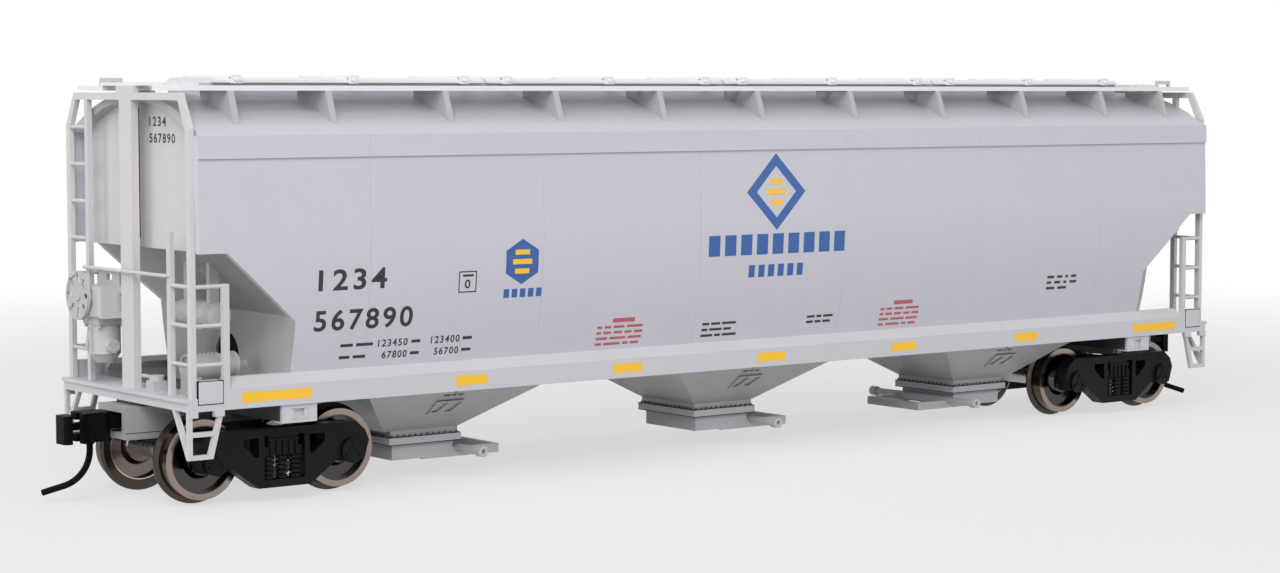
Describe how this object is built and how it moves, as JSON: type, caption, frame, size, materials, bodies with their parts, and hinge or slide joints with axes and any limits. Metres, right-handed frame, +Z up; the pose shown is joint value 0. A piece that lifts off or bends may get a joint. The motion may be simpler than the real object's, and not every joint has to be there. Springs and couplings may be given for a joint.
{
  "type": "model covered hopper car",
  "caption": "Scale model of a covered grain hopper rail car with curved sides, hopper bays, roof walkways, swivelling trucks, rolling wheelsets and working knuckle couplers.",
  "frame": {"origin": "centre of the footprint at the height of the wheel flanges' lowest points", "axes": "+X along the car towards the end without the hand brake, +Y across it, +Z up"},
  "size_m": [0.211, 0.037, 0.0556],
  "materials": {
    "body_paint": "satin light grey paint on moulded plastic",
    "walkway_paint": "satin pale grey paint",
    "detail_paint": "satin light grey paint",
    "underframe_paint": "satin grey paint",
    "truck_black": "black acetal",
    "coupler_metal": "blackened cast metal",
    "wheel_metal": "blackened metal with a bright tread",
    "axle_steel": "turned steel",
    "fastener_steel": "black steel",
    "ballast_steel": "plain steel"
  },
  "bodies": {
    "car_body": {"side_panel_far": "body_paint", "side_panel_near": "body_paint", "end_sheets": "body_paint", "slope_sheets": "body_paint", "bulkheads": "body_paint", "roof": "body_paint", "hatch_covers": "body_paint", "roof_braces": "body_paint", "end_posts": "body_paint", "end_beams": "body_paint", "centre_posts": "body_paint", "side_sill_far": "body_paint", "side_sill_near": "body_paint", "end_sill_b": "body_paint", "end_sill_a": "body_paint", "hopper_bay_1": "body_paint", "hopper_bay_2": "body_paint", "hopper_bay_3": "body_paint", "jacking_pads": "body_paint", "running_board_far": "walkway_paint", "running_board_near": "walkway_paint", "roof_platforms": "walkway_paint", "hatch_battens": "detail_paint", "handrails": "detail_paint", "tall_ladders": "detail_paint", "low_ladders": "detail_paint", "side_ladders": "detail_paint", "corner_steps": "detail_paint", "outlet_gate_1": "detail_paint", "outlet_gate_2": "detail_paint", "outlet_gate_3": "detail_paint", "gate_shafts": "detail_paint", "brake_wheel": "detail_paint", "brake_gearbox": "detail_paint", "control_valve": "detail_paint", "air_reservoir": "detail_paint", "brake_cylinder": "detail_paint", "brake_lever": "detail_paint", "underframe": "underframe_paint", "draft_boxes": "underframe_paint", "draft_lids": "underframe_paint", "lid_screws": "fastener_steel", "truck_screws": "fastener_steel", "ballast_weight": "ballast_steel"},
    "truck_b": {"truck_frame_b": "truck_black"},
    "truck_a": {"truck_frame_a": "truck_black"},
    "wheelset_1": {"axle_1": "axle_steel", "wheels_1": "wheel_metal"},
    "wheelset_2": {"axle_2": "axle_steel", "wheels_2": "wheel_metal"},
    "wheelset_3": {"axle_3": "axle_steel", "wheels_3": "wheel_metal"},
    "wheelset_4": {"axle_4": "axle_steel", "wheels_4": "wheel_metal"},
    "coupler_b": {"coupler_b": "coupler_metal"},
    "knuckle_b": {"knuckle_b": "coupler_metal", "trip_pin_b": "coupler_metal"},
    "coupler_a": {"coupler_a": "coupler_metal"},
    "knuckle_a": {"knuckle_a": "coupler_metal", "trip_pin_a": "coupler_metal"}
  },
  "joints": [
    {"name": "truck_b_swivel", "type": "hinge", "parent": "car_body", "child": "truck_b", "pos_m": [-0.07965, 0, 0.00965], "axis": [0, 0, 1], "range_deg": [-9, 9]},
    {"name": "truck_a_swivel", "type": "hinge", "parent": "car_body", "child": "truck_a", "pos_m": [0.07965, 0, 0.00965], "axis": [0, 0, 1], "range_deg": [-9, 9]},
    {"name": "wheelset_1_roll", "type": "hinge", "parent": "truck_b", "child": "wheelset_1", "pos_m": [-0.08985, 0, 0.0059], "axis": [0, 1, 0], "continuous": true},
    {"name": "wheelset_2_roll", "type": "hinge", "parent": "truck_b", "child": "wheelset_2", "pos_m": [-0.06945, 0, 0.0059], "axis": [0, 1, 0], "continuous": true},
    {"name": "wheelset_3_roll", "type": "hinge", "parent": "truck_a", "child": "wheelset_3", "pos_m": [0.06945, 0, 0.0059], "axis": [0, 1, 0], "continuous": true},
    {"name": "wheelset_4_roll", "type": "hinge", "parent": "truck_a", "child": "wheelset_4", "pos_m": [0.08985, 0, 0.0059], "axis": [0, 1, 0], "continuous": true},
    {"name": "coupler_b_swing", "type": "hinge", "parent": "car_body", "child": "coupler_b", "pos_m": [-0.0918, 0, 0.01057], "axis": [0, 0, 1], "range_deg": [-10, 10], "stiffness_Nm_per_rad": 0.0005},
    {"name": "knuckle_b_open", "type": "hinge", "parent": "coupler_b", "child": "knuckle_b", "pos_m": [-0.1005, 0.001, 0.01057], "axis": [0, 0, 1], "range_deg": [-25, 0], "stiffness_Nm_per_rad": 0.0001},
    {"name": "coupler_a_swing", "type": "hinge", "parent": "car_body", "child": "coupler_a", "pos_m": [0.0918, 0, 0.01057], "axis": [0, 0, 1], "range_deg": [-10, 10], "stiffness_Nm_per_rad": 0.0005},
    {"name": "knuckle_a_open", "type": "hinge", "parent": "coupler_a", "child": "knuckle_a", "pos_m": [0.1005, -0.001, 0.01057], "axis": [0, 0, 1], "range_deg": [-25, 0], "stiffness_Nm_per_rad": 0.0001}
  ]
}
